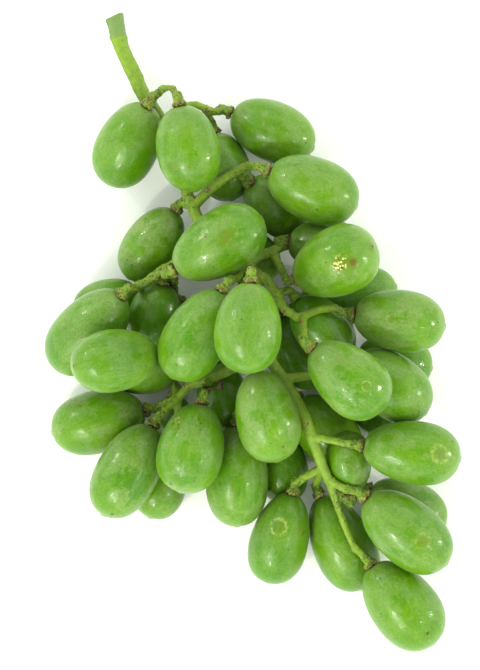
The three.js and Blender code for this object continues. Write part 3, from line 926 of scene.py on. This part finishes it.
def make_berries():
    sizes = bpy.context.scene.grape_sizes
    skin = skin_material(bpy.context.scene.grape_colours)
    tree = berry_tree()
    draw = random.Random(DRAW_SEED)
    for number, name in enumerate(BERRIES, 1):
        fact = FACTS[name]
        # Each berry's tone and bloom are partly painted shade and light.
        tone_and_painted_shade, bloom = BERRY_TONE_BLOOM_AND_PAINTED_SHADE[number]
        values = {
            "Length": fact["length"] + 2 * sizes.swell,
            "Width": fact["width"] + 2 * sizes.swell,
            "Taper": fact["taper"],
            "Bluntness": sizes.bluntness,
            "Unevenness": sizes.unevenness,
            "Dimple": sizes.dimple,
            "Point": sizes.point,
            "Sides": BERRY_SIDES,
            "Rings": BERRY_RINGS,
            "Seed": draw.uniform(0, LARGEST_SEED),
            "Tone and painted shade": tone_and_painted_shade,
            "Bloom": bloom,
            "Turn": fact["axis"].to_track_quat("Z", "Y").to_euler(),
            "Place": fact["middle"],
            "Skin": skin,
        }
        piece = grown(name.replace("berry", "grape"), tree, values)
        mark_berry(piece.data, number, fact)
        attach(piece, "root")
        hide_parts(name)


# ---- making the stalks ----


def twig_beads():
    """The middles and radii of the balls that make up the dry twig, in metres."""
    beads = []
    for start, end in zip(TWIG, TWIG[1:]):
        for count in range(TWIG_BEADS):
            share = count / TWIG_BEADS
            beads.append([MM * (a + (b - a) * share) for a, b in zip(start, end)])
    return np.array(beads)


def remeshed(mesh, cell):
    """A smooth, evenly meshed copy of the stem, with the dry twig grown into it."""
    copy = mesh.copy()
    merge = bmesh.new()
    merge.from_mesh(copy)
    bmesh.ops.remove_doubles(merge, verts=merge.verts, dist=MERGE_DISTANCE)
    for x, y, z, radius in twig_beads():
        place = Matrix.Translation((x, y, z))
        bmesh.ops.create_icosphere(merge, subdivisions=2, radius=radius, matrix=place)
    merge.to_mesh(copy)
    merge.free()
    holder = linked("stem remesh", copy)
    cells = holder.modifiers.new("cells", "REMESH")
    cells.mode = "VOXEL"
    cells.voxel_size = cell
    smooth = holder.modifiers.new("smooth", "SMOOTH")
    smooth.factor = SMOOTH_FACTOR
    smooth.iterations = SMOOTH_ROUNDS
    return plain_mesh(holder)


def near_berries(points):
    """How corky each point is as part of a collar, and how specked as part of a stalk's end."""
    facts = list(FACTS.values())
    ends = tree_of([fact["middle"] + fact["axis"] * (fact["length"] / 2) for fact in facts])
    collars = np.zeros(len(points))
    specked = np.zeros(len(points))
    for i, point in enumerate(points):
        end, nearest, apart = ends.find(point)
        above = (Vector(point) - end).dot(facts[nearest]["axis"])
        collars[i] = np.clip((COLLAR_DEPTH - above) / COLLAR_FADE, 0, 1) * (apart < COLLAR_REACH)
        specked[i] = np.clip((SPECK_REACH - apart) / SPECK_FADE, 0, 1)
    return collars, specked


def creases(mesh, points, normals):
    """How deep each point lies in a fold, from 0 to 1: most where two stalks meet."""
    pairs = np.empty(len(mesh.edges) * 2, dtype=np.int32)
    mesh.edges.foreach_get("vertices", pairs)
    first, second = pairs.reshape(-1, 2).T
    count = np.bincount(pairs, minlength=len(points)).astype(float)

    def neighbour_mean(values):
        forwards = np.bincount(first, values[second], len(points))
        backwards = np.bincount(second, values[first], len(points))
        return (forwards + backwards) / np.maximum(count, 1)

    means = np.column_stack([neighbour_mean(points[:, axis]) for axis in range(3)])
    depth = ((means - points) * normals).sum(axis=1)
    for _ in range(FOLD_ROUNDS):
        depth = neighbour_mean(depth)
    return np.clip((depth - SHALLOW_FOLD) / (DEEP_FOLD - SHALLOW_FOLD), 0, 1)


def lumpiness(points, size, smoothness, octaves):
    """A random height at each point, in lumps of about this size."""
    return np.array([noise.fractal(Vector(p) / size, smoothness, LACUNARITY, octaves) for p in points])


def stalk_growth(points, collars, specked, ring):
    """How far each point of the stalks grows outwards, for their lumps, their collars and the raised ring."""
    sizes = bpy.context.scene.grape_sizes
    lumps = lumpiness(points, *LUMPS)
    bumps = lumpiness(points, *BUMPS)
    lumpy = sizes.stalk_lumps * lumps * (LUMPY_THROUGHOUT + LUMPY_AT_ENDS * specked)
    bumpy = sizes.stalk_lumps * BUMPY_AT_ENDS * bumps * specked
    rims = sizes.collar_rim * collars * (EVEN_RIM + RAGGED_RIM * bumps)
    return sizes.stalk_growth + lumpy + RING_RISE * ring + rims + bumpy


def cut_on_the_slant(points, top):
    """Slants the cut end of the main stalk, and keeps the stalks above the table."""
    middle_x = points[points[:, 1] > top - CUT_FACE, 0].mean()
    lean = np.clip((points[:, 1] - (top - CUT_REACH)) / CUT_REACH, 0, 1)
    points[:, 1] += lean * CUT_SLOPE * (points[:, 0] - middle_x)
    points[:, 2] = np.maximum(points[:, 2], LOWEST_STALK)


def scarred(points, cork):
    """How corky each point is, with the scars on the stalks."""
    for u, v, radius in STALK_SCARS:
        apart = plan_distance(points, u, v, FRAME_LEVEL)
        cork = np.maximum(cork, np.clip(SCAR_REACH - apart / (radius * MM), 0, SCAR_CORK))
    return cork


def make_stem():
    sizes = bpy.context.scene.grape_sizes
    mesh = remeshed(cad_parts["stem"].data, sizes.stalk_cell)
    points = read_vectors(mesh.vertices, "co")
    normals = read_vectors(mesh.vertices, "normal")

    collars, specked = near_berries(points)
    crease = creases(mesh, points, normals)
    top = points[:, 1].max()
    ring = np.exp(-(((points[:, 1] - (top - RING_FROM_CUT)) / RING_WIDTH) ** 2))
    dull = np.clip((points[:, 1] - (top - DULL_FROM_CUT)) / DULL_FADE, 0, 1)
    points = points + normals * stalk_growth(points, collars, specked, ring)[:, None]
    cut_on_the_slant(points, top)
    mesh.vertices.foreach_set("co", points.ravel())
    mesh.update()

    twig = tree_of([bead[:3] for bead in twig_beads()])
    dry = [np.clip(DRY_REACH - twig.find(point)[2] / DRY_FADE, 0, 1) for point in points]
    cork = np.maximum(scarred(points, collars), ring * RING_CORK)
    looks = {"cork": cork, "specked": specked, "crease": crease, "dull": dull, "dry": dry}
    for name, values in looks.items():
        set_attribute(mesh, name, values)

    values = {
        "Density": WART_DENSITY,
        "Speck density": SPECK_DENSITY,
        "Radius": sizes.wart_radius,
        "Seed": WART_SEED,
        "Bark": bark_material(bpy.context.scene.grape_colours),
    }
    piece = grown("stalks", wart_tree(), values, mesh)
    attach(piece, "root")
    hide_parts("stem")


# ---- making the stage ----


def make_lamp(name, azimuth, slant, width, brightness):
    """A round lamp that faces the bunch."""
    lamp = bpy.data.lights.new(name, "AREA")
    lamp.shape = "DISK"
    lamp.size = width
    lamp.energy = brightness * math.pi * math.pi * width * width / 4
    lamp.color = bpy.context.scene.grape_stage.lamps
    turn, lean = math.radians(azimuth), math.radians(slant)
    towards = Vector((math.cos(turn) * math.sin(lean), math.sin(turn) * math.sin(lean), math.cos(lean)))
    made = linked(name, lamp)
    made.location = towards * LAMP_DISTANCE
    made.rotation_euler = towards.to_track_quat("Z", "Y").to_euler()


def make_room(colour, brightness):
    """Pale walls all round, dimmer at their foot and dark overhead."""
    world = bpy.data.worlds.new("room")
    world.use_nodes = True
    wire = Wiring(world.node_tree)
    height = wire.split(wire.node("ShaderNodeTexCoord").outputs["Generated"])[2]
    walls = wire.times(wire.ramp(height, "wall foot"), wire.ramp(height, "ceiling"))
    background = world.node_tree.nodes["Background"]
    wire.feed(background, {"Color": (*colour, 1.0), "Strength": wire.times(walls, brightness)})
    bpy.context.scene.world = world


def make_table(colour):
    """A square table top under the bunch."""
    table = bpy.data.meshes.new("table top")
    outline = bmesh.new()
    bmesh.ops.create_grid(outline, x_segments=1, y_segments=1, size=TABLE_REACH)
    outline.to_mesh(table)
    outline.free()
    table.materials.append(table_material(colour))
    linked("table top", table)


def make_camera(height, frame_height):
    """A long lens that looks straight down and shows this height of the bunch in its frame."""
    camera = bpy.data.cameras.new("camera")
    camera.sensor_fit = "VERTICAL"
    camera.sensor_height = SENSOR_HEIGHT
    camera.lens = camera.sensor_height * (height - FRAME_LEVEL) / frame_height
    camera.clip_start = NEAREST_SEEN
    viewer = linked("camera", camera)
    viewer.location = (*CAMERA_PLACE, height)
    bpy.context.scene.camera = viewer


def make_stage():
    stage = bpy.context.scene.grape_stage
    make_table(stage.table)
    make_camera(stage.camera_height, stage.frame_height)
    make_room(stage.walls, stage.room_light)
    bpy.context.scene.view_settings.view_transform = "Standard"
    for name, azimuth, slant, width, setting, share in LAMPS:
        make_lamp(name, azimuth, slant, width, getattr(stage, setting) * share)


# ---- the add-on ----


class GRAPES_OT_berries(bpy.types.Operator):
    """Grow a finished berry in the place of each plain one"""

    bl_idname = "grapes.berries"
    bl_label = "Berries"

    def execute(self, context):
        make_berries()
        return {"FINISHED"}


class GRAPES_OT_stem(bpy.types.Operator):
    """Grow the warty stalks in the place of the plain stem"""

    bl_idname = "grapes.stem"
    bl_label = "Stem"

    def execute(self, context):
        make_stem()
        return {"FINISHED"}


class GRAPES_OT_stage(bpy.types.Operator):
    """Set up the table, the camera and the lamps"""

    bl_idname = "grapes.stage"
    bl_label = "Stage"

    def execute(self, context):
        make_stage()
        return {"FINISHED"}


class GRAPES_PT_panel(bpy.types.Panel):
    """Lists the pieces of the bunch and their settings"""

    bl_idname = "GRAPES_PT_panel"
    bl_label = "Bunch of grapes"
    bl_space_type = "VIEW_3D"
    bl_region_type = "UI"
    bl_category = "Grapes"

    def draw(self, context):
        for operator in (GRAPES_OT_berries, GRAPES_OT_stem, GRAPES_OT_stage):
            self.layout.operator(operator.bl_idname)
        for group, settings in SETTINGS.items():
            for name in settings.__annotations__:
                self.layout.prop(getattr(context.scene, group), name)


SETTINGS = {"grape_sizes": GrapeSizes, "grape_colours": GrapeColours, "grape_stage": GrapeStage}
CLASSES = (*SETTINGS.values(), GRAPES_OT_berries, GRAPES_OT_stem, GRAPES_OT_stage, GRAPES_PT_panel)


def register():
    for cls in CLASSES:
        bpy.utils.register_class(cls)
    for name, cls in SETTINGS.items():
        setattr(bpy.types.Scene, name, bpy.props.PointerProperty(type=cls))


def unregister():
    for name in SETTINGS:
        delattr(bpy.types.Scene, name)
    for cls in reversed(CLASSES):
        bpy.utils.unregister_class(cls)


def main():
    register()
    bpy.ops.grapes.berries()
    bpy.ops.grapes.stem()
    bpy.ops.grapes.stage()


if __name__ == "__main__":
    main()
